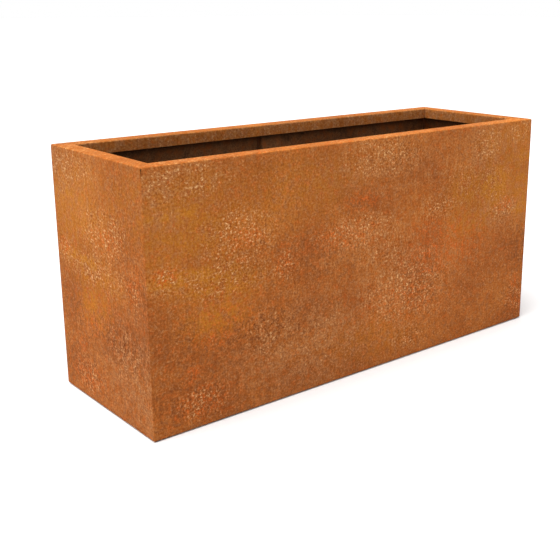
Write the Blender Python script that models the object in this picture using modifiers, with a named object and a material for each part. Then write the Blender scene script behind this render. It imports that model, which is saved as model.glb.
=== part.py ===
"""Weathering-steel planter box with a folded-in rim, on four levelling feet.

Frame: X along the length, Y from the front to the back, +Z up. The origin is on the ground,
under the middle of the box. All sizes are in metres.
"""

import math

import bmesh
import bpy
from mathutils import Matrix, Vector

PARTS = "planter_box"
CUTTERS = "cutters"

# Walls: folded sheet, with a rim folded in and a lip folded down behind it
LENGTH = 1.200
DEPTH = 0.400
WALL_HEIGHT = 0.570
GROUND_GAP = 0.002
SHEET = 0.003
BEND_RADIUS = 0.004
RIM_WIDTH = 0.040
LIP_DROP = 0.0275
BOTTOM_FLANGE = 0.025

# Gap between separate pieces, and steps of a bend and of a full circle
GAP = 0.0003
BEND_STEPS = 6
ROUND_STEPS = 24

# Floor: channels across the box carry a flat plate with drain holes
BEARER_WIDTH = 0.060
BEARER_HEIGHT = 0.043
BEARER_BOTTOM = 0.022
BEARER_X = {"left": -0.520, "centre": 0.0, "right": 0.520}
DRAIN_HOLE_RADIUS = 0.0125
DRAIN_HOLE_X = (-0.37, -0.15, 0.15, 0.37)
DRAIN_HOLE_Y = (-0.09, 0.09)

# Upright stiffeners at mid-length, with a tie bar between them
STIFFENER_WIDTH = 0.065
STIFFENER_DEPTH = 0.015
STIFFENER_SHEET = 0.002
TIE_TOP = 0.330
TIE_WIDTH = 0.040
TIE_THICKNESS = 0.004
TIE_TAB = 0.055
TIE_BOLT_DROPS = {"upper": 0.019, "lower": 0.042}

# M8 fasteners of the tie
M8_RADIUS = 0.004
M8_ACROSS_FLATS = 0.013
M8_HEAD = 0.0053
M8_NUT = 0.0065
M8_SHANK = 0.0145
HOLE_CLEARANCE = 0.0005

# M12 levelling feet
FOOT_X = {"left": BEARER_X["left"], "right": BEARER_X["right"]}
FOOT_Y = {"front": -0.130, "back": 0.130}
M12_RADIUS = 0.006
M12_ACROSS_FLATS = 0.019
WELD_NUT = 0.010
LOCK_NUT = 0.006
STUD_END_RADIUS = 0.0045
STUD_END_BOTTOM = 0.0036
STUD_TOP = 0.060
STUD_CHAMFER = 0.001
COLLAR_BOTTOM = 0.0092
COLLAR_TOP = 0.0150
COLLAR_ACROSS_FLATS = 0.017
PAD_RADIUS = 0.025
PAD_EDGE = 0.003
PAD_HUB_RADIUS = 0.011
PAD_HEIGHT = 0.0088
PAD_SOCKET_BOTTOM = STUD_END_BOTTOM - GAP
PAD_SOCKET_RADIUS = STUD_END_RADIUS + GAP

# Levels and faces that follow from the sizes above
WALL_BOTTOM = GROUND_GAP
WALL_TOP = GROUND_GAP + WALL_HEIGHT
INNER_X = LENGTH / 2 - SHEET
INNER_Y = DEPTH / 2 - SHEET
FLOOR_BOTTOM = BEARER_BOTTOM + BEARER_HEIGHT + GAP
FLOOR_TOP = FLOOR_BOTTOM + SHEET
WEB_FACE_Y = INNER_Y - GAP - STIFFENER_DEPTH
TIE_END_Y = WEB_FACE_Y - GAP


def start_scene():
    """Empties the scene, and makes one collection for the pieces and one for their cutters."""
    for obj in list(bpy.data.objects):
        bpy.data.objects.remove(obj, do_unlink=True)
    for name in (PARTS, CUTTERS):
        collection = bpy.data.collections.new(name)
        bpy.context.scene.collection.children.link(collection)


def make_material(name, colour, roughness, metallic):
    material = bpy.data.materials.new(name)
    material.use_nodes = True
    shader = material.node_tree.nodes["Principled BSDF"]
    shader.inputs["Base Color"].default_value = colour
    shader.inputs["Roughness"].default_value = roughness
    shader.inputs["Metallic"].default_value = metallic
    return material


def corten():
    return make_material("corten", (0.375, 0.130, 0.035, 1.0), 0.85, 0.0)


def zinc():
    return make_material("zinc", (0.480, 0.480, 0.460, 1.0), 0.40, 1.0)


def black_plastic():
    return make_material("black_plastic", (0.020, 0.020, 0.021, 1.0), 0.55, 0.0)


def new_piece(name, mesh, look):
    """Puts a mesh in the collection of pieces, with its own material and smooth round sides."""
    piece = bpy.data.objects.new(name, mesh)
    bpy.data.collections[PARTS].objects.link(piece)
    mesh.materials.clear()
    mesh.materials.append(look())
    mesh.shade_smooth()
    mesh.set_sharp_from_angle(angle=math.radians(30))
    return piece


def prism_mesh(name, radius, bottom, top, sides):
    """An upright prism or cylinder about Z, between two heights."""
    shape = bmesh.new()
    middle = Matrix.Translation((0.0, 0.0, (bottom + top) / 2))
    bmesh.ops.create_cone(
        shape,
        cap_ends=True,
        segments=sides,
        radius1=radius,
        radius2=radius,
        depth=top - bottom,
        matrix=middle,
    )
    mesh = bpy.data.meshes.new(name)
    shape.to_mesh(mesh)
    shape.free()
    return mesh


def combine(piece, mesh, operation, location=(0.0, 0.0, 0.0), turn=(0.0, 0.0, 0.0)):
    """Cuts a shape out of a piece or joins it on. The shape is placed in the piece's own frame."""
    tool = bpy.data.objects.new(mesh.name, mesh)
    bpy.data.collections[CUTTERS].objects.link(tool)
    tool.parent = piece
    tool.location = location
    tool.rotation_euler = turn
    tool.hide_render = True
    tool.display_type = "WIRE"
    modifier = piece.modifiers.new(mesh.name, "BOOLEAN")
    modifier.operation = operation
    modifier.object = tool
    modifier.solver = "EXACT"


def drill(piece, radius, reach, location, turn=(0.0, 0.0, 0.0)):
    """A round hole through a wall. Without a turn it runs along the piece's own Z."""
    hole = prism_mesh(piece.name + "_hole", radius, -reach, reach, ROUND_STEPS)
    combine(piece, hole, "DIFFERENCE", location, turn)


def folded_outline(mould_line, thickness, radius):
    """Closed outline of a sheet folded at the corners of a line, always to the same side.

    The line is the sheet's outer face as if its bends were sharp, and the outer face is on the
    left of each stretch.
    """
    corners = [Vector(corner) for corner in mould_line]
    outward = []
    for here, after in zip(corners, corners[1:]):
        along = (after - here).normalized()
        outward.append(Vector((-along.y, along.x)))
    outer = [corners[0]]
    inner = [corners[0] - outward[0] * thickness]
    for corner, before, after in zip(corners[1:-1], outward, outward[1:]):
        centre = corner - (before + after) * radius
        for step in range(BEND_STEPS + 1):
            angle = math.pi / 2 * step / BEND_STEPS
            direction = before * math.cos(angle) + after * math.sin(angle)
            outer.append(centre + direction * radius)
            inner.append(centre + direction * (radius - thickness))
    outer.append(corners[-1])
    inner.append(corners[-1] - outward[-1] * thickness)
    return outer + inner[::-1]


def circle(radius, centre):
    turns = [2 * math.pi * step / ROUND_STEPS for step in range(ROUND_STEPS)]
    return [(centre[0] + radius * math.cos(t), centre[1] + radius * math.sin(t)) for t in turns]


def extruded_mesh(name, outlines, width):
    """Flat outlines in XY, given a width along Z. Outlines inside the first one are holes."""
    curve = bpy.data.curves.new(name, "CURVE")
    curve.dimensions = "2D"
    curve.fill_mode = "BOTH"
    curve.extrude = width / 2
    for outline in outlines:
        spline = curve.splines.new("POLY")
        spline.points.add(len(outline) - 1)
        for point, place in zip(spline.points, outline):
            point.co = (place[0], place[1], 0.0, 1.0)
        spline.use_cyclic_u = True
    guide = bpy.data.objects.new(name + "_outline", curve)
    bpy.context.scene.collection.objects.link(guide)
    bpy.context.view_layer.update()
    graph = bpy.context.evaluated_depsgraph_get()
    mesh = bpy.data.meshes.new_from_object(guide.evaluated_get(graph))
    bpy.data.objects.remove(guide)
    mesh.name = name
    shape = bmesh.new()
    shape.from_mesh(mesh)
    bmesh.ops.remove_doubles(shape, verts=shape.verts, dist=0.00001)
    bmesh.ops.recalc_face_normals(shape, faces=shape.faces)
    shape.to_mesh(mesh)
    shape.free()
    return mesh


def turned_piece(name, profile, look):
    """A solid of revolution about Z. The profile runs from the axis to the axis, down its outside."""
    mesh = bpy.data.meshes.new(name)
    points = [(radius, 0.0, height) for radius, height in profile]
    edges = [(index, index + 1) for index in range(len(points) - 1)]
    mesh.from_pydata(points, edges, [])
    piece = new_piece(name, mesh, look)
    turn = piece.modifiers.new("turn", "SCREW")
    turn.steps = ROUND_STEPS
    turn.render_steps = ROUND_STEPS
    turn.use_merge_vertices = True
    turn.merge_threshold = 0.00001
    turn.use_smooth_shade = True
    return piece


def wall_panel(name, length, place, turn):
    """Bottom flange, wall, rim and lip in one sheet, mitred at both ends to meet its neighbours."""
    mould_line = [
        (BOTTOM_FLANGE, WALL_BOTTOM),
        (0.0, WALL_BOTTOM),
        (0.0, WALL_TOP),
        (RIM_WIDTH, WALL_TOP),
        (RIM_WIDTH, WALL_TOP - LIP_DROP),
    ]
    outline = folded_outline(mould_line, SHEET, BEND_RADIUS)
    mesh = extruded_mesh(name, [outline], length)
    half_gap_along_wall = GAP / 2 * math.sqrt(2)
    for vertex in mesh.vertices:
        inset, height, side = vertex.co
        end = length / 2 - inset - half_gap_along_wall
        vertex.co = (math.copysign(end, side), inset, height)
    panel = new_piece(name, mesh, corten)
    panel.location = place
    panel.rotation_euler.z = turn


def walls():
    half_length, half_depth = LENGTH / 2, DEPTH / 2
    wall_panel("front_panel", LENGTH, (0.0, -half_depth, 0.0), 0.0)
    wall_panel("right_end_panel", DEPTH, (half_length, 0.0, 0.0), math.pi / 2)
    wall_panel("back_panel", LENGTH, (0.0, half_depth, 0.0), math.pi)
    wall_panel("left_end_panel", DEPTH, (-half_length, 0.0, 0.0), -math.pi / 2)


def channel_mesh(name, width, depth, thickness, length):
    """A U section along Z: its legs start at y = 0 and its web is at y = depth."""
    half = width / 2
    mould_line = [(-half, 0.0), (-half, depth), (half, depth), (half, 0.0)]
    outline = folded_outline(mould_line, thickness, thickness * 1.6)
    return extruded_mesh(name, [outline], length)


def bearer(side, x):
    """A channel with its open side up, from the front wall to the back wall."""
    name = "base_bearer_" + side
    length = 2 * (INNER_Y - GAP)
    mesh = channel_mesh(name, BEARER_WIDTH, BEARER_HEIGHT, SHEET, length)
    piece = new_piece(name, mesh, corten)
    piece.location = (x, 0.0, BEARER_BOTTOM + BEARER_HEIGHT)
    piece.rotation_euler.x = -math.pi / 2
    if x in FOOT_X.values():
        for y in FOOT_Y.values():
            web_middle = BEARER_HEIGHT - SHEET / 2
            radius = M12_RADIUS + HOLE_CLEARANCE
            drill(piece, radius, 2 * SHEET, (0.0, web_middle, y), (math.pi / 2, 0.0, 0.0))


def base_plate():
    """The raised floor, with round drain holes between the bearers."""
    half_x, half_y = INNER_X - GAP, INNER_Y - GAP
    outlines = [[(-half_x, -half_y), (half_x, -half_y), (half_x, half_y), (-half_x, half_y)]]
    for x in DRAIN_HOLE_X:
        for y in DRAIN_HOLE_Y:
            outlines.append(circle(DRAIN_HOLE_RADIUS, (x, y)))
    mesh = extruded_mesh("base_plate", outlines, SHEET)
    plate = new_piece("base_plate", mesh, corten)
    plate.location.z = (FLOOR_BOTTOM + FLOOR_TOP) / 2


def bolt_heights():
    return {level: TIE_TOP - drop for level, drop in TIE_BOLT_DROPS.items()}


def stiffener(name, side):
    """An upright channel from the floor to the rim. side is -1 at the front and 1 at the back."""
    bottom, top = FLOOR_TOP + GAP, WALL_TOP - BEND_RADIUS - GAP
    middle = (bottom + top) / 2
    mesh = channel_mesh(name, STIFFENER_WIDTH, STIFFENER_DEPTH, STIFFENER_SHEET, top - bottom)
    piece = new_piece(name, mesh, corten)
    piece.location = (0.0, side * (INNER_Y - GAP), middle)
    piece.rotation_euler.z = math.pi if side > 0 else 0.0
    for height in bolt_heights().values():
        web_middle = STIFFENER_DEPTH - STIFFENER_SHEET / 2
        radius = M8_RADIUS + HOLE_CLEARANCE
        place = (0.0, web_middle, height - middle)
        drill(piece, radius, 2 * STIFFENER_SHEET, place, (math.pi / 2, 0.0, 0.0))


def cross_tie():
    """A flat bar between the stiffeners, folded down at both ends into bolting tabs."""
    mould_line = [
        (-TIE_END_Y, TIE_TOP - TIE_TAB),
        (-TIE_END_Y, TIE_TOP),
        (TIE_END_Y, TIE_TOP),
        (TIE_END_Y, TIE_TOP - TIE_TAB),
    ]
    outline = folded_outline(mould_line, TIE_THICKNESS, TIE_THICKNESS * 1.75)
    mesh = extruded_mesh("cross_tie", [outline], TIE_WIDTH)
    for vertex in mesh.vertices:
        vertex.co = vertex.co.zxy
    piece = new_piece("cross_tie", mesh, corten)
    for side in (-1, 1):
        for height in bolt_heights().values():
            tab_middle = side * (TIE_END_Y - TIE_THICKNESS / 2)
            radius = M8_RADIUS + HOLE_CLEARANCE
            turn = (math.pi / 2, 0.0, 0.0)
            drill(piece, radius, TIE_THICKNESS, (0.0, tab_middle, height), turn)


def hex_radius(across_flats):
    return across_flats / math.sqrt(3)


def bolt(name):
    """A hexagon bolt along its own Z: the head stands on z = 0 and the shank hangs below."""
    head = prism_mesh(name, hex_radius(M8_ACROSS_FLATS), 0.0, M8_HEAD, 6)
    shank = prism_mesh(name + "_shank", M8_RADIUS, -M8_SHANK, M8_HEAD / 2, ROUND_STEPS)
    piece = new_piece(name, head, zinc)
    combine(piece, shank, "UNION")
    return piece


def nut(name, across_flats, thickness, thread_radius):
    """A hexagon nut along its own Z, standing on z = 0."""
    mesh = prism_mesh(name, hex_radius(across_flats), 0.0, thickness, 6)
    piece = new_piece(name, mesh, zinc)
    drill(piece, thread_radius + GAP, 2 * thickness, (0.0, 0.0, 0.0))
    return piece


def tie_fasteners():
    """Two bolts through each tab of the tie, into nuts held inside the stiffeners."""
    for side_name, side in (("front", -1), ("back", 1)):
        for level, height in bolt_heights().items():
            fastener = bolt(f"tie_bolt_{side_name}_{level}")
            fastener.location = (0.0, side * (TIE_END_Y - TIE_THICKNESS - GAP), height)
            fastener.rotation_euler.x = side * math.pi / 2
            captive = nut(f"tie_nut_{side_name}_{level}", M8_ACROSS_FLATS, M8_NUT, M8_RADIUS)
            captive.location = (0.0, side * (WEB_FACE_Y + STIFFENER_SHEET + GAP), height)
            captive.rotation_euler.x = -side * math.pi / 2


def foot_stud(name):
    """Threaded stud with a hexagon collar, and a plain end that turns in the pad's socket."""
    profile = [
        (0.0, STUD_TOP),
        (M12_RADIUS - STUD_CHAMFER, STUD_TOP),
        (M12_RADIUS, STUD_TOP - STUD_CHAMFER),
        (M12_RADIUS, COLLAR_TOP - STUD_CHAMFER),
        (STUD_END_RADIUS, COLLAR_BOTTOM + STUD_CHAMFER),
        (STUD_END_RADIUS, STUD_END_BOTTOM),
        (0.0, STUD_END_BOTTOM),
    ]
    stud = turned_piece(name, profile, zinc)
    radius = hex_radius(COLLAR_ACROSS_FLATS)
    combine(stud, prism_mesh(name + "_collar", radius, COLLAR_BOTTOM, COLLAR_TOP, 6), "UNION")
    return stud


def foot_pad(name):
    """Round pad with a blind socket in its hub. Its flat underside stands on the ground."""
    profile = [
        (0.0, PAD_SOCKET_BOTTOM),
        (PAD_SOCKET_RADIUS, PAD_SOCKET_BOTTOM),
        (PAD_SOCKET_RADIUS, PAD_HEIGHT),
        (PAD_HUB_RADIUS, PAD_HEIGHT),
        (PAD_HUB_RADIUS, PAD_EDGE * 2),
        (PAD_RADIUS, PAD_EDGE),
        (PAD_RADIUS, 0.0),
        (0.0, 0.0),
    ]
    return turned_piece(name, profile, black_plastic)


def levelling_feet():
    """Four feet. An empty on each foot's axis carries the two pieces that move along it."""
    for y_name, y in FOOT_Y.items():
        for x_name, x in FOOT_X.items():
            corner = f"{y_name}_{x_name}"
            axis = bpy.data.objects.new("foot_axis_" + corner, None)
            bpy.data.collections[PARTS].objects.link(axis)
            axis.location = (x, y, 0.0)
            foot_stud("foot_stud_" + corner).parent = axis
            foot_pad("foot_pad_" + corner).parent = axis
            lock = nut("foot_lock_nut_" + corner, M12_ACROSS_FLATS, LOCK_NUT, M12_RADIUS)
            lock.location = (x, y, BEARER_BOTTOM - GAP - LOCK_NUT)
            weld = nut("foot_weld_nut_" + corner, M12_ACROSS_FLATS, WELD_NUT, M12_RADIUS)
            weld.location = (x, y, BEARER_BOTTOM + SHEET + GAP)


def main():
    start_scene()
    walls()
    for side, x in BEARER_X.items():
        bearer(side, x)
    base_plate()
    stiffener("front_stiffener", -1)
    stiffener("back_stiffener", 1)
    cross_tie()
    tie_fasteners()
    levelling_feet()


main()
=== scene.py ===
import math

import bmesh
import bpy
import numpy as np
from mathutils import Matrix, Vector, noise


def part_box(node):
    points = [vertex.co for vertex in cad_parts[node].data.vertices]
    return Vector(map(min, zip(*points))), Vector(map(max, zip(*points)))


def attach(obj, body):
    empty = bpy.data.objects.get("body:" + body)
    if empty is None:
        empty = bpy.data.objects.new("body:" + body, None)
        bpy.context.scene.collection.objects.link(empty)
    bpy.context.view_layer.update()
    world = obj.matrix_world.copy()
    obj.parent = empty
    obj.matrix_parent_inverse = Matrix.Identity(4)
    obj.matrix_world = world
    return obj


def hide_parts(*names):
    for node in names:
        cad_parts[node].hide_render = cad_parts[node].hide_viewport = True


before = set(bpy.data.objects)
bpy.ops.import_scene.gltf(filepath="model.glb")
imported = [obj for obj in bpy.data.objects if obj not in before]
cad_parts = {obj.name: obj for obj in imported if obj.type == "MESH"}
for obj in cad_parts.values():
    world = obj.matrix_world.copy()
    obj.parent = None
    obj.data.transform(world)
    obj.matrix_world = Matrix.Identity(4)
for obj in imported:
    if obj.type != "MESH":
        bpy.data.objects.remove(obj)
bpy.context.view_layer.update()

# The planter's own sizes in metres. The first ones are read from the frame, the rest repeat the CAD's.
WALL_LOW, WALL_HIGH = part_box("front_panel")[0].z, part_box("front_panel")[1].z
HALF_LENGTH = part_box("right_end_panel")[1].x
HALF_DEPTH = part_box("back_panel")[1].y
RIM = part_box("left_end_panel")[1].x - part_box("left_end_panel")[0].x
FLOOR_LOW, FLOOR_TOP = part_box("base_plate")[0].z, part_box("base_plate")[1].z
SHEET = FLOOR_TOP - FLOOR_LOW
INNER_X, INNER_Y = HALF_LENGTH - SHEET, HALF_DEPTH - SHEET
BEND = 0.004
LIP = 0.0275
FLANGE = 0.025
DRAIN_X, DRAIN_Y = (0.37, 0.15), 0.09

# The seam at each upright corner: its gap, its ground weld, how far the sheet's end is rounded, and the
# slit left open below the rim, which gapes at the front left corner.
MITRE_GAP = 0.00005
SEAM_RADIUS = 0.0007
ARRIS = 0.0010
SLIT_WIDTH = 0.0007
WIDE_SLIT = 0.0021
SLIT_LENGTH = 0.042

# The wall panels' meshes: steps along a flat and round a bend, how far the flats dip inwards, and how
# near to a fold that fades.
FLAT_STEP = 0.014
BEND_STEPS = 10
DENT = 0.0005
CALM_BORDER = 0.05

# Weld beads: their legs, the lengths of the short ones, and how finely they are stepped and rippled.
CORNER_BEAD, FLOOR_BEAD, THIN_BEAD = 0.0038, 0.0036, 0.003
STITCH, BEARER_STITCH = 0.035, 0.03
BEAD_STEP, BEAD_RIPPLE, BEAD_ROOT = 0.0008, 0.0028, 0.0004

# Fasteners: threads, heads, and how the hexagons are chamfered. A thread's depth is a share of its pitch.
M8_RADIUS, M8_PITCH, M8_HEAD, M8_FLATS = 0.004, 0.00125, 0.0053, 0.013
M12_RADIUS, M12_PITCH, M12_FLATS = 0.006, 0.00175, 0.019
THREAD_DEPTH = 0.55
THREAD_ROOM = 0.0002
THREAD_RUN_OUT = 0.0015
THREAD_CHAMFER, THREAD_END = 0.001, 0.0012
CHAMFER_START = 0.95
CHAMFER_SLOPE = math.tan(math.radians(30))
COUNTERSINK = 1.12

# Levelling feet. The larger sizes repeat the CAD's.
STUD_END, COLLAR_LOW, COLLAR_HIGH, COLLAR_FLATS = 0.0045, 0.0092, 0.0150, 0.017
PAD_RIM, PAD_HUB, PAD_HUB_FOOT = 0.003, 0.011, 0.006
SOCKET, SOCKET_LOW = 0.0048, 0.0033
RIBS, RIB_DEPTH = 12, 0.0013
GRIP_SPACING, GRIP_DEPTH, GRIP_BORDER = 0.004, 0.0006, 0.003
EASE = 0.0008

ROOT = "planter"
CORNERS = ("front_left", "front_right", "back_left", "back_right")


# ---------------------------------------------------------------- material nodes


class Graph:
    """One material's nodes. Each call returns a socket that the next call can take."""

    def __init__(self, name, roughness=0.8, metallic=0.0, specular=0.5):
        self.material = bpy.data.materials.new(name)
        self.material.use_nodes = True
        self.tree = self.material.node_tree
        self.shader = self.tree.nodes["Principled BSDF"]
        self.shader.inputs["Roughness"].default_value = roughness
        self.shader.inputs["Metallic"].default_value = metallic
        self.shader.inputs["Specular IOR Level"].default_value = specular
        self.place = self.add("ShaderNodeTexCoord").outputs["Object"]

    def add(self, kind, **settings):
        node = self.tree.nodes.new(kind)
        for name, value in settings.items():
            setattr(node, name, value)
        return node

    def plug(self, socket, value):
        if isinstance(value, bpy.types.NodeSocket):
            self.tree.links.new(value, socket)
        elif isinstance(value, tuple) and socket.type == "RGBA":
            socket.default_value = (*value, 1.0)
        else:
            socket.default_value = value

    def math(self, operation, first, second=0.0):
        node = self.add("ShaderNodeMath", operation=operation)
        self.plug(node.inputs[0], first)
        self.plug(node.inputs[1], second)
        return node.outputs[0]

    def times(self, first, second):
        return self.math("MULTIPLY", first, second)

    def plus(self, first, second):
        return self.math("ADD", first, second)

    def span(self, value, low, high, to_low=0.0, to_high=1.0):
        """value from low..high to to_low..to_high, eased and clamped."""
        node = self.add("ShaderNodeMapRange", interpolation_type="SMOOTHSTEP")
        self.plug(node.inputs["Value"], value)
        for name, number in zip(("From Min", "From Max", "To Min", "To Max"), (low, high, to_low, to_high)):
            node.inputs[name].default_value = number
        return node.outputs["Result"]

    def noise(self, scale, detail=2.0, roughness=0.5, stretch=(1, 1, 1), shift=0.0):
        """Noise on the object's own coordinates. shift reads another part of the pattern."""
        moved = self.add("ShaderNodeVectorMath", operation="MULTIPLY_ADD")
        self.plug(moved.inputs[0], self.place)
        moved.inputs[1].default_value = stretch
        moved.inputs[2].default_value = (shift, shift * 0.7, shift * 1.3)
        node = self.add("ShaderNodeTexNoise")
        self.plug(node.inputs["Vector"], moved.outputs[0])
        node.inputs["Scale"].default_value = scale
        node.inputs["Detail"].default_value = detail
        node.inputs["Roughness"].default_value = roughness
        return node.outputs["Fac"]

    def mix(self, factor, below, above, mode="MIX"):
        node = self.add("ShaderNodeMix", data_type="RGBA", blend_type=mode)
        self.plug(node.inputs[0], factor)
        self.plug(node.inputs[6], below)
        self.plug(node.inputs[7], above)
        return node.outputs[2]

    def ramp(self, factor, stops):
        node = self.add("ShaderNodeValToRGB")
        while len(node.color_ramp.elements) < len(stops):
            node.color_ramp.elements.new(0.5)
        for element, (place, colour) in zip(node.color_ramp.elements, stops):
            element.position = place
            element.color = (*colour, 1.0)
        self.plug(node.inputs["Fac"], factor)
        return node.outputs["Color"]

    def painted(self, name):
        """A value painted on the mesh's points, or 0 where nothing was painted."""
        return self.add("ShaderNodeAttribute", attribute_name=name).outputs["Fac"]

    def coordinate(self, axis):
        node = self.add("ShaderNodeSeparateXYZ")
        self.plug(node.inputs[0], self.place)
        return node.outputs[axis]

    def bump(self, height, distance):
        node = self.add("ShaderNodeBump")
        node.inputs["Strength"].default_value = 1.0
        node.inputs["Distance"].default_value = distance
        self.plug(node.inputs["Height"], height)
        return node.outputs["Normal"]

    def finish(self, colour, roughness=None, normal=None):
        self.plug(self.shader.inputs["Base Color"], colour)
        if roughness is not None:
            self.plug(self.shader.inputs["Roughness"], roughness)
        if normal is not None:
            self.plug(self.shader.inputs["Normal"], normal)
        return self.material


# Colours mixed into the rust outside.
ASH = (0.305, 0.122, 0.043)
EMBER = (0.460, 0.080, 0.010)
OCHRE = (0.430, 0.155, 0.013)
SHADE = (0.165, 0.042, 0.009)
PALE = (0.570, 0.290, 0.108)


def rust_outside():
    """Weathered outside: orange-brown rust with upright streaks, coloured patches and pale flecks, and a
    painted highlight on the rim's top.
    """
    g = Graph("rust_outside", roughness=0.85, specular=0.08)
    cloud = g.noise(6.0, 3.0, 0.5)
    mottle = g.noise(42.0, 4.0, 0.65, shift=3.0)
    tint = g.noise(70.0, 3.0, 0.65, shift=13.0)
    grain = g.noise(210.0, 3.0, 0.75, shift=5.0)
    streak = g.noise(170.0, 2.0, 0.6, stretch=(1, 1, 0.05), shift=7.0)
    speck = g.noise(160.0, 4.0, 0.8, shift=9.0)
    fleck = g.noise(150.0, 3.0, 0.65, stretch=(1, 1, 1.25), shift=11.0)

    tone = g.plus(g.times(cloud, 0.6), g.times(mottle, 0.4))
    colour = g.ramp(tone, [
        (0.36, (0.240, 0.064, 0.012)),
        (0.50, (0.306, 0.087, 0.015)),
        (0.64, (0.370, 0.116, 0.021)),
    ])
    specks = g.span(speck, 0.40, 0.62)
    gaps = g.span(speck, 0.40, 0.62, 1.0, 0.3)
    colour = g.mix(g.times(g.span(tint, 0.36, 0.50, 0.70, 0.0), gaps), colour, ASH)
    colour = g.mix(g.times(g.span(tint, 0.50, 0.64, 0.0, 0.50), specks), colour, EMBER)
    for kind, breaks, within, above in (
        ("ash", g.span(mottle, 0.38, 0.60, 0.2, 1.6), gaps, ASH),
        ("ochre", g.span(mottle, 0.40, 0.62, 1.6, 0.2), gaps, OCHRE),
        ("shade", g.span(tint, 0.36, 0.60, 1.6, 0.3), gaps, SHADE),
        ("ember", g.span(tint, 0.40, 0.62, 0.2, 1.6), specks, EMBER),
    ):
        colour = g.mix(g.times(g.times(g.painted(kind), breaks), within), colour, above)
    pale = g.times(g.span(fleck, 0.52, 0.62), g.span(mottle, 0.38, 0.58, 0.2, 1.2))
    flecks = g.times(pale, g.painted("flecks"))
    colour = g.mix(flecks, colour, PALE)
    value = g.plus(g.plus(g.times(grain, 0.55), g.times(streak, 0.12)), g.times(speck, 0.33))
    roughest = g.span(g.painted("flecks"), 0.16, 0.60, 0.70, 1.0)
    colour = g.mix(roughest, colour, g.ramp(value, [
        (0.36, (0.47, 0.27, 0.12)),
        (0.50, (1.00, 1.00, 1.00)),
        (0.64, (1.53, 2.03, 2.75)),
    ]), "MULTIPLY")
    # Painted highlight: the rim's top, where the light falls on it, is painted lighter than the wall.
    colour = g.mix(g.painted("rim"), colour, (1.40, 1.38, 1.25), "MULTIPLY")
    height = g.plus(g.plus(g.times(grain, 0.6), g.times(mottle, 0.6)), g.times(flecks, 0.2))
    return g.finish(colour, g.span(mottle, 0.3, 0.7, 0.92, 0.76), g.bump(height, 0.0005))


def rust_and_shade_inside():
    """Inside: rust painted darker than the outside, partly as painted shade, with orange blooms, dark
    spots, faint drip marks and a painted shadow under the lip.
    """
    g = Graph("rust_and_shade_inside", roughness=0.9, specular=0.1)
    cloud = g.noise(9.0, 4.0, 0.6, shift=2.0)
    grain = g.noise(240.0, 3.0, 0.75, shift=4.0)
    drips = g.noise(70.0, 3.0, 0.6, stretch=(1, 1, 0.08), shift=6.0)
    bloom = g.noise(34.0, 5.0, 0.7, shift=8.0)
    tone = g.plus(g.plus(g.times(cloud, 0.30), g.times(drips, 0.12)), g.times(grain, 0.58))
    colour = g.ramp(tone, [
        (0.38, (0.150, 0.068, 0.027)),
        (0.50, (0.262, 0.120, 0.047)),
        (0.62, (0.400, 0.192, 0.078)),
    ])
    colour = g.mix(g.span(bloom, 0.48, 0.66, 0.0, 0.75), colour, (0.400, 0.125, 0.028))
    colour = g.mix(g.span(bloom, 0.34, 0.48, 0.60, 0.0), colour, (0.105, 0.058, 0.032))
    # Painted shade: the inside is painted near black just under the lip, where the lip shades it.
    painted_lip_shade = g.span(g.coordinate("Z"), WALL_HIGH - LIP * 2, WALL_HIGH - LIP, 0.0, 0.85)
    colour = g.mix(painted_lip_shade, colour, (0.055, 0.040, 0.024))
    return g.finish(colour, g.span(cloud, 0.3, 0.7, 0.95, 0.8), g.bump(grain, 0.0004))


def rust_floor():
    """The raised floor: dried puddle marks, orange blooms and a paler stain round each drain hole."""
    g = Graph("rust_floor", roughness=0.9, specular=0.1)
    puddle = g.noise(14.0, 5.0, 0.6, shift=2.0)
    grain = g.noise(260.0, 3.0, 0.75, shift=4.0)
    bloom = g.noise(40.0, 5.0, 0.7, shift=8.0)
    rings = g.math("ABSOLUTE", g.math("SINE", g.times(puddle, 38.0)))
    colour = g.ramp(g.plus(g.times(puddle, 0.45), g.times(grain, 0.55)), [
        (0.38, (0.080, 0.032, 0.014)),
        (0.50, (0.165, 0.068, 0.026)),
        (0.62, (0.280, 0.125, 0.050)),
    ])
    colour = g.mix(g.span(bloom, 0.50, 0.68, 0.0, 0.80), colour, (0.400, 0.125, 0.028))
    colour = g.mix(g.span(rings, 0.0, 0.22, 0.35, 0.0), colour, (0.060, 0.028, 0.015))
    stain = g.span(g.plus(from_drains(g), g.times(bloom, 0.05)), 0.032, 0.062, 0.6, 0.0)
    colour = g.mix(stain, colour, (0.270, 0.125, 0.050))
    return g.finish(colour, g.span(puddle, 0.3, 0.7, 0.95, 0.78), g.bump(grain, 0.0004))


def from_drains(g):
    """The distance from the nearest drain hole, which lie alike in each quarter of the floor."""
    along = g.math("ABSOLUTE", g.coordinate("X"))
    nearest = g.math("MINIMUM", *(g.math("ABSOLUTE", g.plus(along, -x)) for x in DRAIN_X))
    across = g.plus(g.math("ABSOLUTE", g.coordinate("Y")), -DRAIN_Y)
    return g.math("SQRT", g.plus(g.times(nearest, nearest), g.times(across, across)))


def zinc():
    """Zinc plating that has dulled and picked up rust dust."""
    g = Graph("dull_zinc", roughness=0.4, metallic=1.0)
    cloud = g.noise(120.0, 4.0, 0.6)
    grain = g.noise(900.0, 2.0, 0.6, shift=3.0)
    colour = g.ramp(cloud, [(0.35, (0.36, 0.36, 0.35)), (0.6, (0.55, 0.55, 0.53))])
    dust = g.span(g.noise(260.0, 4.0, 0.7, shift=9.0), 0.55, 0.75, 0.0, 0.8)
    colour = g.mix(dust, colour, (0.30, 0.12, 0.045))
    return g.finish(colour, g.span(cloud, 0.3, 0.7, 0.52, 0.3), g.bump(grain, 0.00005))


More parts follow.
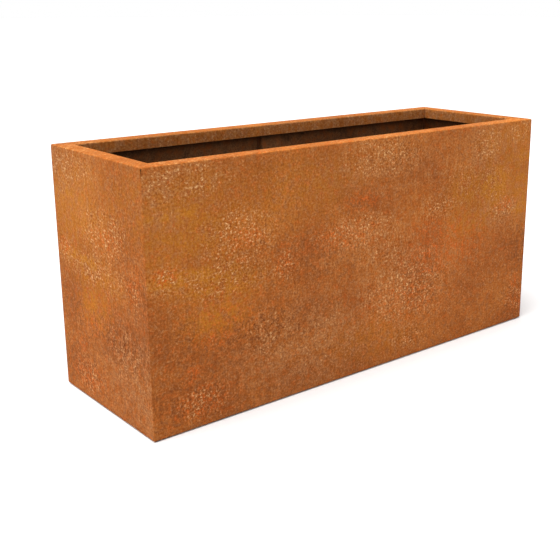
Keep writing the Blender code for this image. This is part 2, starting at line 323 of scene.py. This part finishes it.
def moulded_black():
    """Black polyamide with a fine moulded grain."""
    g = Graph("moulded_black", roughness=0.5, specular=0.45)
    grain = g.noise(1400.0, 2.0, 0.5)
    cloud = g.noise(60.0, 3.0, 0.6, shift=4.0)
    colour = g.ramp(cloud, [(0.3, (0.014, 0.014, 0.015)), (0.7, (0.030, 0.029, 0.028))])
    return g.finish(colour, g.span(cloud, 0.3, 0.7, 0.62, 0.45), g.bump(grain, 0.00006))


def weld_metal():
    """Rusted weld metal, a little darker and smoother than the sheet."""
    g = Graph("rusted_weld", roughness=0.75, specular=0.2)
    cloud = g.noise(90.0, 4.0, 0.6)
    grain = g.noise(700.0, 2.0, 0.6, shift=3.0)
    colour = g.ramp(g.plus(g.times(cloud, 0.6), g.times(grain, 0.4)), [
        (0.35, (0.105, 0.045, 0.020)),
        (0.65, (0.290, 0.120, 0.045)),
    ])
    return g.finish(colour, g.span(cloud, 0.3, 0.7, 0.85, 0.6), g.bump(grain, 0.0001))


def studio_white():
    """Pale matt floor of the studio."""
    g = Graph("studio_white", roughness=0.9, specular=0.1)
    cloud = g.noise(0.6, 2.0, 0.5)
    return g.finish(g.ramp(cloud, [(0.3, (0.79, 0.79, 0.79)), (0.7, (0.81, 0.81, 0.81))]))


OUTSIDE = rust_outside()
INSIDE = rust_and_shade_inside()
FLOOR_RUST = rust_floor()
ZINC = zinc()
BLACK = moulded_black()
WELD = weld_metal()


# ---------------------------------------------------------------- mesh helpers


def new_piece(name, points, faces, materials, sides=None, body=ROOT, slot="corten", stands_for=()):
    """A shaded mesh that rides on a body. sides holds each face's material number."""
    mesh = bpy.data.meshes.new(name)
    mesh.from_pydata([tuple(p) for p in points], [], faces)
    for material in materials:
        mesh.materials.append(material)
    if sides is not None:
        mesh.polygons.foreach_set("material_index", sides)
    shape = bmesh.new()
    shape.from_mesh(mesh)
    bmesh.ops.recalc_face_normals(shape, faces=shape.faces)
    shape.to_mesh(mesh)
    shape.free()
    mesh.shade_smooth()
    mesh.set_sharp_from_angle(angle=math.radians(28))
    piece = bpy.data.objects.new(name, mesh)
    bpy.context.scene.collection.objects.link(piece)
    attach(piece, body)
    if stands_for:
        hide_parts(*stands_for)
    return piece


def grid_faces(rows, columns, wrap=False):
    """Faces between closed rows of points. With wrap, the last row also joins the first."""
    faces = []
    for row in range(rows if wrap else rows - 1):
        here, above = row * columns, (row + 1) % rows * columns
        for column in range(columns):
            after = (column + 1) % columns
            faces.append((here + column, here + after, above + after, above + column))
    return faces


def joined(meshes):
    """Several (points, faces) pairs as one."""
    points, faces = [], []
    for more_points, more_faces in meshes:
        start = len(points)
        points.extend(more_points)
        faces.extend(tuple(start + corner for corner in face) for face in more_faces)
    return points, faces


def smooth_noise(place, scale, seed):
    """Gradient noise between -1 and 1 at a place in metres."""
    return noise.noise(Vector(place) * scale + Vector((seed, seed * 2.3, seed * 3.1)))


# ---------------------------------------------------------------- folded wall panels

# Patches of colour on the front wall: distance from its left end, height above its bottom edge, half
# width, half height, strength. The left wall repeats its first stretch, and the right and back walls
# mirror its last stretch and the whole of it.
PATCHES = {
    "flecks": [
        (0.600, 0.285, 3.000, 3.000, 0.16),
        (0.225, 0.400, 0.090, 0.060, 0.90), (0.190, 0.315, 0.120, 0.035, 0.80),
        (0.045, 0.335, 0.045, 0.030, 0.85), (0.090, 0.535, 0.110, 0.035, 0.75),
        (0.120, 0.055, 0.060, 0.040, 0.70), (0.345, 0.310, 0.030, 0.035, 0.75),
        (0.640, 0.525, 0.120, 0.045, 0.80), (0.560, 0.360, 0.120, 0.035, 0.80),
        (0.840, 0.375, 0.070, 0.025, 0.80), (0.730, 0.180, 0.140, 0.085, 0.80),
        (0.740, 0.055, 0.055, 0.030, 0.70), (1.020, 0.520, 0.055, 0.045, 0.90),
        (1.150, 0.540, 0.050, 0.030, 0.80), (1.090, 0.335, 0.055, 0.030, 0.90),
        (1.170, 0.070, 0.040, 0.040, 0.80), (0.300, 0.160, 0.080, 0.070, 0.50),
        (0.460, 0.120, 0.180, 0.110, 0.35), (0.950, 0.430, 0.120, 0.070, 0.40),
        (0.050, 0.515, 0.060, 0.050, 0.45), (1.055, 0.405, 0.050, 0.055, 0.60),
        (0.650, 0.300, 0.100, 0.045, 0.60), (0.780, 0.250, 0.070, 0.035, 0.50),
    ],
    "ash": [
        (0.400, 0.110, 0.170, 0.110, 0.55), (0.640, 0.500, 0.160, 0.060, 0.35),
        (1.080, 0.330, 0.080, 0.050, 0.40), (0.560, 0.330, 0.120, 0.060, 0.35),
        (0.720, 0.200, 0.160, 0.110, 0.35), (0.090, 0.540, 0.100, 0.040, 0.30),
        (1.020, 0.510, 0.090, 0.060, 0.35), (0.040, 0.505, 0.070, 0.060, 0.45),
    ],
    "ochre": [
        (0.080, 0.463, 0.085, 0.010, 0.70), (0.070, 0.405, 0.090, 0.050, 0.40),
        (0.110, 0.333, 0.110, 0.018, 0.65), (0.180, 0.295, 0.100, 0.040, 0.50),
        (1.165, 0.470, 0.060, 0.014, 0.65), (1.175, 0.400, 0.050, 0.080, 0.45),
        (1.180, 0.330, 0.045, 0.016, 0.75), (0.380, 0.480, 0.160, 0.070, 0.30),
        (0.960, 0.320, 0.090, 0.035, 0.40), (0.620, 0.080, 0.120, 0.050, 0.25),
        (1.055, 0.405, 0.070, 0.055, 0.60), (0.110, 0.440, 0.130, 0.100, 0.35),
        (0.165, 0.235, 0.075, 0.045, 0.60), (0.945, 0.400, 0.065, 0.055, 0.40),
        (1.100, 0.510, 0.110, 0.050, 0.25),
    ],
    "ember": [
        (0.190, 0.240, 0.080, 0.050, 0.32), (0.235, 0.395, 0.045, 0.020, 0.65),
        (0.040, 0.345, 0.026, 0.014, 0.90), (0.100, 0.125, 0.016, 0.014, 0.90),
        (0.155, 0.190, 0.035, 0.020, 0.70), (0.870, 0.270, 0.130, 0.060, 0.60),
        (0.820, 0.213, 0.060, 0.010, 0.80), (0.800, 0.330, 0.060, 0.025, 0.60),
        (0.580, 0.430, 0.045, 0.020, 0.60), (1.100, 0.345, 0.035, 0.014, 0.80),
        (1.165, 0.115, 0.018, 0.018, 0.80), (0.730, 0.150, 0.130, 0.060, 0.40),
        (0.345, 0.320, 0.025, 0.030, 0.60), (0.520, 0.350, 0.100, 0.030, 0.50),
        (0.120, 0.055, 0.060, 0.030, 0.55), (1.170, 0.060, 0.030, 0.030, 0.60),
    ],
    "shade": [
        (0.600, -0.040, 3.000, 0.190, 0.34),
        (0.085, 0.200, 0.035, 0.070, 0.55), (0.170, 0.150, 0.100, 0.050, 0.45),
        (0.430, 0.310, 0.110, 0.055, 0.45), (0.120, 0.050, 0.070, 0.040, 0.50),
        (0.560, 0.430, 0.060, 0.030, 0.40), (1.170, 0.210, 0.050, 0.075, 0.60),
        (1.165, 0.060, 0.060, 0.055, 0.60), (0.030, 0.220, 0.040, 0.060, 0.30),
        (0.300, 0.180, 0.170, 0.055, 0.70), (0.340, 0.340, 0.110, 0.230, 0.25),
        (0.790, 0.180, 0.080, 0.060, 0.45), (0.710, 0.510, 0.070, 0.050, 0.40),
        (0.940, 0.510, 0.060, 0.050, 0.20), (0.080, 0.070, 0.130, 0.060, 0.55),
        (0.500, 0.290, 0.070, 0.050, 0.40),
    ],
}

# The same colours on the lips behind the rim, which are alike all round.
LIP_PAINT = {"flecks": 0.25, "ash": 0.75, "ochre": 0.15, "ember": 0.0, "shade": 0.0}


def patched(kind, along, up):
    """The strongest patch of one kind at each place on a wall."""
    strongest = np.zeros(np.shape(along))
    for u, v, half_width, half_height, strength in PATCHES[kind]:
        far = ((along - u) / half_width) ** 2 + ((up - v) / half_height) ** 2
        strongest = np.maximum(strongest, strength * np.exp(-0.7 * far ** 1.4))
    return strongest


def fold_line(corners):
    """Points along a line with rounded right-angled bends, with the direction out of its left side."""
    corners = [np.array(c, float) for c in corners]
    units = [(b - a) / np.linalg.norm(b - a) for a, b in zip(corners, corners[1:])]
    sides = [np.array((-d[1], d[0])) for d in units]
    points, normals = [], []
    last = len(units) - 1
    for index, (direction, side) in enumerate(zip(units, sides)):
        start = corners[index] + direction * (BEND if index else 0.0)
        end = corners[index + 1] - direction * (BEND if index < last else 0.0)
        for share in shares_along(np.linalg.norm(end - start)):
            points.append(start + (end - start) * share)
            normals.append(side)
        if index == last:
            break
        centre = corners[index + 1] - (side + sides[index + 1]) * BEND
        for step in range(1, BEND_STEPS):
            angle = math.pi / 2 * step / BEND_STEPS
            out = side * math.cos(angle) + sides[index + 1] * math.sin(angle)
            points.append(centre + out * BEND)
            normals.append(out)
    return np.array(points), np.array(normals)


def shares_along(length):
    """Shares from 0 to 1, a step apart, and closer in the wall's last stretch, beside the slit."""
    count = max(2, round(length / FLAT_STEP) + 1)
    shares = np.linspace(0.0, 1.0, count)
    if length < SLIT_LENGTH:
        return shares
    slit_start = 1.0 - SLIT_LENGTH / length
    return np.concatenate([shares[shares < slit_start], np.linspace(slit_start, 1.0, 12)])


def slit(height):
    """The slit's width at a height, as a share of its widest. It starts 1 mm below the rim's top."""
    below = WALL_HIGH - height
    taper = max(0.0, SLIT_LENGTH - below) / (SLIT_LENGTH - BEND)
    return max(0.0, min(1.0, (below - 0.001) / 0.003, taper ** 1.5))


def stations(reach):
    """(side, distance from the end, share of the way to the middle), from end to end."""
    near = [(ARRIS * share, 0.0) for share in (0.0, 0.3, 0.6, 1.0)]
    count = round(reach / FLAT_STEP)
    rest = [(ARRIS, (step + 1) / count) for step in range(count)]
    left = [(-1, *place) for place in near + rest]
    right = [(1, *place) for place in reversed(near + rest[:-1])]
    return left + right


def arris(distance):
    """How far the outer skin rounds inwards at a distance from the mitred end, as a share."""
    return max(0.0, 1.0 - distance / ARRIS) ** 2


def panel_outline():
    """The folded section as ((inset, height), outward direction): its outer skin, then its inner one."""
    places, outward = fold_line([
        (FLANGE, WALL_LOW),
        (0.0, WALL_LOW),
        (0.0, WALL_HIGH),
        (RIM, WALL_HIGH),
        (RIM, WALL_HIGH - LIP),
    ])
    inner = places - outward * SHEET
    return list(zip(np.concatenate([places, inner[::-1]]), np.concatenate([outward, outward[::-1]])))


def panel_faces(rows, count):
    """A panel's faces, with the mitred ends last, and the number of each one's material."""
    half = count // 2
    faces = grid_faces(rows, count)
    sides = [0 if number % count < half - 1 else 1 for number in range(len(faces))]
    for start in (0, (rows - 1) * count):
        for k in range(half - 1):
            faces.append((start + k, start + k + 1, start + count - 2 - k, start + count - 1 - k))
            sides.append(1)
    return faces, sides


def unevenness(x, height, share, seed):
    """How far a wall dips inwards at a place, which fades to nothing at its folds and its ends."""
    room = min(height - WALL_LOW, WALL_HIGH - height) - BEND
    calm = min(1.0, share * 8.0) * min(1.0, max(0.0, room) / CALM_BORDER)
    return DENT * calm * (0.5 + 0.5 * smooth_noise((x, 0.0, height), 5.0, seed))


def wall_panel(node, half_length, corner, turn, reads_from, top_highlight, wide_end, seed):
    """A folded wall: bottom flange, wall, rim and lip, mitred at its ends, and gently uneven.

    reads_from gives the place among the patches for a distance from the panel's middle.
    shine is the painted highlight on the top of its rim: how much lighter than the wall that top is painted
    where the light falls on it.
    wide_end is the end with the wide slit, -1 or 1, or 0 for neither.
    """
    outline = panel_outline()
    half = len(outline) // 2
    rotate = Matrix.Rotation(turn, 3, "Z")
    rows = stations(half_length)
    points, marks = [], []
    for side, distance, share in rows:
        widest = WIDE_SLIT if side == wide_end else SLIT_WIDTH
        for index, ((inset, height), (out_y, out_z)) in enumerate(outline):
            outside, on_wall = index < half, inset < SHEET * 1.1
            cut = slit(height) * widest if on_wall else 0.0
            reach = half_length - inset - MITRE_GAP - cut
            x = side * (reach - distance) * (1.0 - share)
            dip = unevenness(x, height, share, seed)
            if outside and not share:
                dip += SEAM_RADIUS * arris(distance) * (1.0 if on_wall else 0.3)
            here = Vector((x, inset - out_y * dip, height - out_z * dip))
            points.append(rotate @ here + Vector(corner))
            on_top, on_lip = outside and out_z > 0.6, outside and inset > RIM - BEND / 2
            marks.append((reads_from(x), height - WALL_LOW, top_highlight if on_top else 0.0, on_lip))
    faces, sides = panel_faces(len(rows), len(outline))
    piece = new_piece(node + "_sheet", points, faces, [OUTSIDE, INSIDE], sides, stands_for=[node])
    along, up, rim, lip = np.array(marks).T
    for kind, on_lip in LIP_PAINT.items():
        paint(piece, kind, np.where(lip > 0, on_lip, patched(kind, along, up)))
    # The rim values paint a highlight on the top of the rim, where the light falls.
    paint(piece, "rim", rim)


def paint(piece, name, values):
    layer = piece.data.attributes.new(name, "FLOAT", "POINT")
    layer.data.foreach_set("value", np.asarray(values, np.float32))


def wall_panels():
    x, y = HALF_LENGTH, HALF_DEPTH
    # The number after each wall's lambda is how strong the painted highlight on its rim's top is.
    wall_panel("front_panel", x, (0, -y, 0), 0.0, lambda s: s + x, 1.0, -1, 1.0)
    wall_panel("left_end_panel", y, (-x, 0, 0), -math.pi / 2, lambda s: s + y, 0.9, 1, 2.0)
    wall_panel("back_panel", x, (0, y, 0), math.pi, lambda s: x - s, 0.6, 0, 3.0)
    wall_panel("right_end_panel", y, (x, 0, 0), math.pi / 2, lambda s: 2 * x - y - s, 0.6, 0, 4.0)


# ---------------------------------------------------------------- welds


def fillet_bead(start, end, leg_a, leg_b, size, seed=0.0):
    """A rippled weld bead in the corner between two faces, which leg_a and leg_b run along.

    Its section lies between a flat and a round one, and it tapers at its ends.
    """
    start, end, leg_a, leg_b = (Vector(v) for v in (start, end, leg_a, leg_b))
    length = (end - start).length
    direction = (end - start) / length
    count = max(10, round(length / BEAD_STEP))
    points = []
    for step in range(count + 1):
        s = length * step / count
        taper = math.sqrt(min(1.0, (min(s, length - s) + 0.0006) / size))
        uneven = 1.0 + 0.12 * smooth_noise(start + direction * s, 90.0, seed)
        middle = start + direction * s
        points.append(middle - (leg_a + leg_b) * BEAD_ROOT)
        for spoke in range(7):
            angle = math.pi / 2 * spoke / 6
            across, out = math.cos(angle), math.sin(angle)
            chord = 0.55 / (across + out) + 0.45
            ripple = abs(math.sin(math.pi * (s + size * math.sin(2 * angle)) / BEAD_RIPPLE))
            radius = size * taper * uneven * chord * (0.92 + 0.08 * ripple)
            points.append(middle + (leg_a * across + leg_b * out) * radius)
    faces = grid_faces(count + 1, 8)
    faces.append(tuple(range(8)))
    faces.append(tuple(range(count * 8, count * 8 + 8)))
    return points, faces


def stitches(start, end, number, length):
    """Start and end of each of a row of short welds, evenly spread between two places."""
    start, end = Vector(start), Vector(end)
    half = (end - start).normalized() * length / 2
    middles = [start.lerp(end, (k + 0.5) / number) for k in range(number)]
    return [(middle - half, middle + half) for middle in middles]


def corner_welds():
    """Inside each upright corner, from the bottom fold to the rim."""
    beads = []
    for x_side in (-1, 1):
        for y_side in (-1, 1):
            x, y = x_side * INNER_X, y_side * INNER_Y
            low, high = WALL_LOW + BEND, WALL_HIGH - BEND
            legs = (-x_side, 0, 0), (0, -y_side, 0)
            beads.append(fillet_bead((x, y, low), (x, y, high), *legs, CORNER_BEAD, x_side + 2 * y_side))
    new_piece("corner_welds", *joined(beads), [WELD], slot="dark_corten")


def floor_welds():
    """Short welds between the raised floor and the walls, clear of the stiffeners."""
    beads = []
    for side in (-1, 1):
        y = side * INNER_Y
        for a, b in stitches((-INNER_X, y, FLOOR_TOP), (INNER_X, y, FLOOR_TOP), 8, STITCH):
            beads.append(fillet_bead(a, b, (0, -side, 0), (0, 0, 1), FLOOR_BEAD, a.x))
        x = side * INNER_X
        for a, b in stitches((x, -INNER_Y, FLOOR_TOP), (x, INNER_Y, FLOOR_TOP), 3, STITCH):
            beads.append(fillet_bead(a, b, (-side, 0, 0), (0, 0, 1), FLOOR_BEAD, a.y))
    new_piece("floor_welds", *joined(beads), [WELD], slot="dark_corten")


def stiffener_welds():
    """Short upright welds along both legs of each stiffener."""
    beads = []
    for node, side in (("front_stiffener", -1), ("back_stiffener", 1)):
        low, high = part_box(node)
        y = side * INNER_Y
        for x, away in ((low.x, -1), (high.x, 1)):
            for a, b in stitches((x, y, low.z), (x, y, high.z), 5, STITCH):
                beads.append(fillet_bead(a, b, (away, 0, 0), (0, -side, 0), THIN_BEAD, a.z + x))
    new_piece("stiffener_welds", *joined(beads), [WELD], slot="dark_corten")


def bearer_welds():
    """Welds from each bearer's flanks to the walls, and up to the floor above."""
    beads = []
    for node in ("base_bearer_left", "base_bearer_centre", "base_bearer_right"):
        low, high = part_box(node)
        for x, away in ((low.x, -1), (high.x, 1)):
            for side in (-1, 1):
                y = side * INNER_Y
                a, b = (x, y, low.z + SHEET * 2), (x, y, high.z)
                beads.append(fillet_bead(a, b, (away, 0, 0), (0, -side, 0), THIN_BEAD, x + y))
            for a, b in stitches((x, -INNER_Y, FLOOR_LOW), (x, INNER_Y, FLOOR_LOW), 3, BEARER_STITCH):
                beads.append(fillet_bead(a, b, (away, 0, 0), (0, 0, -1), THIN_BEAD, a.y))
    new_piece("bearer_welds", *joined(beads), [WELD], slot="dark_corten")


def corner_seams():
    """The ground weld outside each upright corner. It stops below the open slit."""
    around, seams = 12, []
    low, high = WALL_LOW + BEND / 2, WALL_HIGH - SLIT_LENGTH * 0.8
    heights = np.linspace(low, high, round((high - low) / 0.004))
    inset = SEAM_RADIUS + 0.0002
    for x_side in (-1, 1):
        for y_side in (-1, 1):
            rings = []
            for z in heights:
                uneven = 0.08 * smooth_noise((x_side, y_side, z), 60.0, 5.0)
                rings.append((SEAM_RADIUS * (0.96 + uneven), z))
            points, faces = turned(rings, around)
            centre = (x_side * (HALF_LENGTH - inset), y_side * (HALF_DEPTH - inset), 0.0)
            seams.append((points + centre, faces))
    new_piece("corner_seams", *joined(seams), [OUTSIDE])


# ---------------------------------------------------------------- turned pieces and fasteners


def turned(rings, around, hollow=False):
    """A turned shape. Each ring is (radius, height), either of which may vary around it."""
    angles = np.arange(around) * 2 * math.pi / around
    points = [np.stack([r * np.cos(angles), r * np.sin(angles), z + 0 * angles], 1) for r, z in rings]
    count = len(rings)
    faces = grid_faces(count, around, wrap=hollow)
    if not hollow:
        last = (count - 1) * around
        faces.append(tuple(range(around)))
        faces.append(tuple(range(last, last + around)))
    return np.concatenate(points), faces


def hexagon(across_flats, around):
    """Distance from the middle to a hexagon's side, around it."""
    angles = np.arange(around) * 2 * math.pi / around
    return across_flats / 2 / np.cos((angles + math.pi / 6) % (math.pi / 3) - math.pi / 6)


def hex_crown(across_flats, face, around, up=1):
    """Rings from a hexagon's corners over its 30 degree chamfer to its flat face."""
    inner, outer = CHAMFER_START * across_flats / 2, hexagon(across_flats, around)
    rings = []
    for share in (1.0, 0.66, 0.33, 0.0):
        radius = inner + (outer - inner) * share
        rings.append((radius, face - up * (radius - inner) * CHAMFER_SLOPE))
    return rings


def thread(radius, pitch, low, high, around, starts_blunt=False):
    """Rings of a right-handed thread from low to high, chamfered at the top.

    Its crest and its root are flat for 12 percent of a flank each. A thread that starts blunt
    deepens from nothing at its low end.
    """
    turns = np.arange(around) / around
    rings = []
    for z in np.arange(low, high, pitch / 6):
        wave = np.abs(2 * ((z / pitch - turns) % 1.0) - 1)
        cut = np.clip((wave - 0.12) / 0.76, 0, 1) * THREAD_DEPTH * pitch
        run_out = min(1.0, (z - low) / THREAD_RUN_OUT) if starts_blunt else 1.0
        limit = radius - max(0.0, THREAD_CHAMFER - (high - z))
        rings.append((np.minimum(radius - cut * run_out, limit), z))
    rings.append((radius - THREAD_END, high))
    return rings


def along_axis(points, centre, axis):
    """Points made along Z, turned along another axis and moved to a centre."""
    turn = Vector((0, 0, 1)).rotation_difference(Vector(axis)).to_matrix()
    return [turn @ Vector(point) + Vector(centre) for point in points]


def hex_nut(node, axis, across_flats, thread_radius):
    """A chamfered nut with a countersunk bore, in the CAD nut's place."""
    around = 48
    bore = thread_radius + THREAD_ROOM
    low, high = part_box(node)
    thickness = (high - low).dot(Vector(abs(a) for a in axis))
    base = hex_crown(across_flats, 0.0, around, up=-1)[::-1]
    crown = hex_crown(across_flats, thickness, around)
    sink = bore * COUNTERSINK
    rings = [(sink, 0.0), *base, *crown, (sink, thickness)]
    rings += [(bore, thickness - (sink - bore)), (bore, sink - bore)]
    points, faces = turned(rings, around, hollow=True)
    centre = (low + high) / 2 - Vector(axis) * thickness / 2
    new_piece(node + "_detail", along_axis(points, centre, axis), faces, [ZINC],
              slot="zinc_steel", stands_for=[node])


def hex_bolt(node, axis):
    """An M8 bolt with its head towards axis."""
    around = 36
    low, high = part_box(node)
    across_flats = min(high.x - low.x, high.z - low.z)
    reach = (high - low).dot(Vector(abs(a) for a in axis))
    under_head = reach - M8_HEAD
    shank = [(r, under_head - z) for r, z in thread(M8_RADIUS, M8_PITCH, 0.0, under_head, around)]
    rings = shank[::-1] + [(hexagon(across_flats, around), under_head)]
    rings += hex_crown(across_flats, reach, around)
    points, faces = turned(rings, around)
    centre = (low + high) / 2 - Vector(axis) * reach / 2
    new_piece(node + "_detail", along_axis(points, centre, axis), faces, [ZINC],
              slot="zinc_steel", stands_for=[node])


def tie_fasteners():
    for side_name, side in (("front", -1), ("back", 1)):
        for level in ("upper", "lower"):
            hex_bolt(f"tie_bolt_{side_name}_{level}", (0, -side, 0))
            hex_nut(f"tie_nut_{side_name}_{level}", (0, side, 0), M8_FLATS, M8_RADIUS)


def foot_stud(corner):
    """A threaded stud with a hexagon collar and a plain end in the pad's socket."""
    node = "foot_stud_" + corner
    around = 48
    low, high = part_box(node)
    collar = hex_crown(COLLAR_FLATS, COLLAR_LOW, around, up=-1)[::-1]
    collar += hex_crown(COLLAR_FLATS, COLLAR_HIGH, around)
    rings = [(STUD_END - EASE, low.z), (STUD_END, low.z + EASE), (STUD_END, COLLAR_LOW), *collar]
    rings += thread(M12_RADIUS, M12_PITCH, COLLAR_HIGH, high.z, around, starts_blunt=True)
    points, faces = turned(rings, around)
    centre = ((low.x + high.x) / 2, (low.y + high.y) / 2, 0.0)
    new_piece(node + "_detail", along_axis(points, centre, (0, 0, 1)), faces, [ZINC],
              body="stud_" + corner, slot="zinc_steel", stands_for=[node])


def pad_underside(edge):
    """Rings under a pad, with grip grooves, and round its edge to the top of its rim."""
    rings = []
    for radius in np.linspace(GRIP_SPACING, edge - EASE, 40):
        groove = max(0.0, math.cos(radius / GRIP_SPACING * 2 * math.pi)) * GRIP_DEPTH
        on_grip = GRIP_SPACING * 1.5 < radius < edge - GRIP_BORDER
        rings.append((radius, groove if on_grip else 0.0))
    rings += [(edge - 0.0002, 0.0003), (edge, EASE), (edge, PAD_RIM - EASE)]
    rings += [(edge - 0.0002, PAD_RIM - 0.0003), (edge - 0.0007, PAD_RIM), (edge - 0.0018, PAD_RIM)]
    return rings


def pad_ribs(edge, around):
    """Rings from a pad's rim up to its hub, sunk between the ribs."""
    angles = np.arange(around) * 2 * math.pi / around
    rib = np.clip((np.cos(angles * RIBS) - 0.55) / 0.3, 0, 1)
    outer, inner = edge - 0.0022, PAD_HUB + 0.0006
    rings = []
    for share in np.linspace(0.0, 1.0, 12):
        crest = PAD_RIM + (PAD_HUB_FOOT - PAD_RIM) * share
        pocket = RIB_DEPTH * min(1.0, share / 0.1, (1.0 - share) / 0.1 + 0.3)
        rings.append((outer + (inner - outer) * share, crest - pocket * (1 - rib) - 0.0002))
    return rings


def pad_hub(top):
    """Rings up a pad's hub, over its top and down into the stud's socket."""
    return [
        (PAD_HUB, PAD_HUB_FOOT),
        (PAD_HUB, top - EASE),
        (PAD_HUB - 0.0002, top - 0.0002),
        (PAD_HUB - EASE, top),
        (SOCKET + 0.0006, top),
        (SOCKET, top - 0.0006),
        (SOCKET, SOCKET_LOW),
    ]


def foot_pad(corner):
    """A moulded pad with ribs from its hub to its edge, and grip rings underneath."""
    node = "foot_pad_" + corner
    around = 144
    low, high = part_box(node)
    edge, top = (high.x - low.x) / 2, high.z - low.z
    points, faces = turned([*pad_underside(edge), *pad_ribs(edge, around), *pad_hub(top)], around)
    centre = ((low.x + high.x) / 2, (low.y + high.y) / 2, low.z)
    new_piece(node + "_detail", along_axis(points, centre, (0, 0, 1)), faces, [BLACK],
              body="foot_" + corner, slot="black_plastic", stands_for=[node])


def levelling_feet():
    for corner in CORNERS:
        foot_pad(corner)
        foot_stud(corner)
        hex_nut("foot_lock_nut_" + corner, (0, 0, 1), M12_FLATS, M12_RADIUS)
        hex_nut("foot_weld_nut_" + corner, (0, 0, 1), M12_FLATS, M12_RADIUS)


# ---------------------------------------------------------------- plates kept from the CAD


def finish_plates():
    """The floor, bearers, stiffeners and tie keep their CAD shape, with their own rust; all but the floor
    take the inside's rust with its painted shade.
    """
    for name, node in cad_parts.items():
        if name == "base_plate":
            finish_plate(node, FLOOR_RUST)
        elif name.startswith("base_bearer") or name.endswith("stiffener") or name == "cross_tie":
            finish_plate(node, INSIDE)


def finish_plate(node, material):
    node.data.materials.clear()
    node.data.materials.append(material)
    eased = node.modifiers.new("eased_edges", "BEVEL")
    eased.width = 0.0004
    eased.segments = 2
    eased.limit_method = "ANGLE"
    eased.angle_limit = math.radians(40)


# ---------------------------------------------------------------- studio and camera


def studio_floor():
    size = 60.0
    corners = [(-size, -size, 0), (size, -size, 0), (size, size, 0), (-size, size, 0)]
    mesh = bpy.data.meshes.new("studio_floor")
    mesh.from_pydata(corners, [], [(0, 1, 2, 3)])
    mesh.materials.append(studio_white())
    floor = bpy.data.objects.new("studio_floor", mesh)
    bpy.context.scene.collection.objects.link(floor)


def studio_light():
    """A pale surround, whitest at the horizon, and a wide soft light high on the left."""
    world = bpy.data.worlds.new("studio_world")
    world.use_nodes = True
    tree = world.node_tree
    place = tree.nodes.new("ShaderNodeTexCoord")
    split = tree.nodes.new("ShaderNodeSeparateXYZ")
    fade = tree.nodes.new("ShaderNodeMapRange")
    for name, value in (("From Min", 0.05), ("From Max", 0.2), ("To Min", 1.0), ("To Max", 0.6)):
        fade.inputs[name].default_value = value
    tree.links.new(place.outputs["Generated"], split.inputs[0])
    tree.links.new(split.outputs["Z"], fade.inputs["Value"])
    tree.links.new(fade.outputs["Result"], tree.nodes["Background"].inputs["Strength"])
    tree.nodes["Background"].inputs["Color"].default_value = (1.0, 1.0, 1.0, 1.0)
    bpy.context.scene.world = world

    light = bpy.data.lights.new("key_light", "SUN")
    light.energy = 4.0
    light.angle = math.radians(50)
    lamp = bpy.data.objects.new("key_light", light)
    towards = Vector((-0.36, -0.10, 0.93))
    lamp.rotation_euler = towards.to_track_quat("Z", "Y").to_euler()
    bpy.context.scene.collection.objects.link(lamp)


def camera():
    """The view of the planter's near left corner, with a small shift for the framing."""
    turn, tilt, roll = math.radians(40.14), math.radians(15.02), math.radians(0.049)
    data = bpy.data.cameras.new("view_camera")
    data.sensor_width = 36.0
    data.lens = 57.61
    data.shift_x = -0.0670
    data.shift_y = -0.0480
    data.clip_end = 200.0
    eye = bpy.data.objects.new("view_camera", data)
    eye.location = (-1.4213, -1.6926, 0.8638 + WALL_LOW)
    aim = Matrix.Rotation(-turn, 3, "Z") @ Matrix.Rotation(math.pi / 2 - tilt, 3, "X")
    eye.rotation_euler = (aim @ Matrix.Rotation(roll, 3, "Z")).to_euler()
    bpy.context.scene.collection.objects.link(eye)
    bpy.context.scene.camera = eye


camera()
studio_floor()
studio_light()
wall_panels()
corner_seams()
corner_welds()
floor_welds()
stiffener_welds()
bearer_welds()
tie_fasteners()
levelling_feet()
finish_plates()
bpy.context.scene.view_settings.view_transform = "Standard"
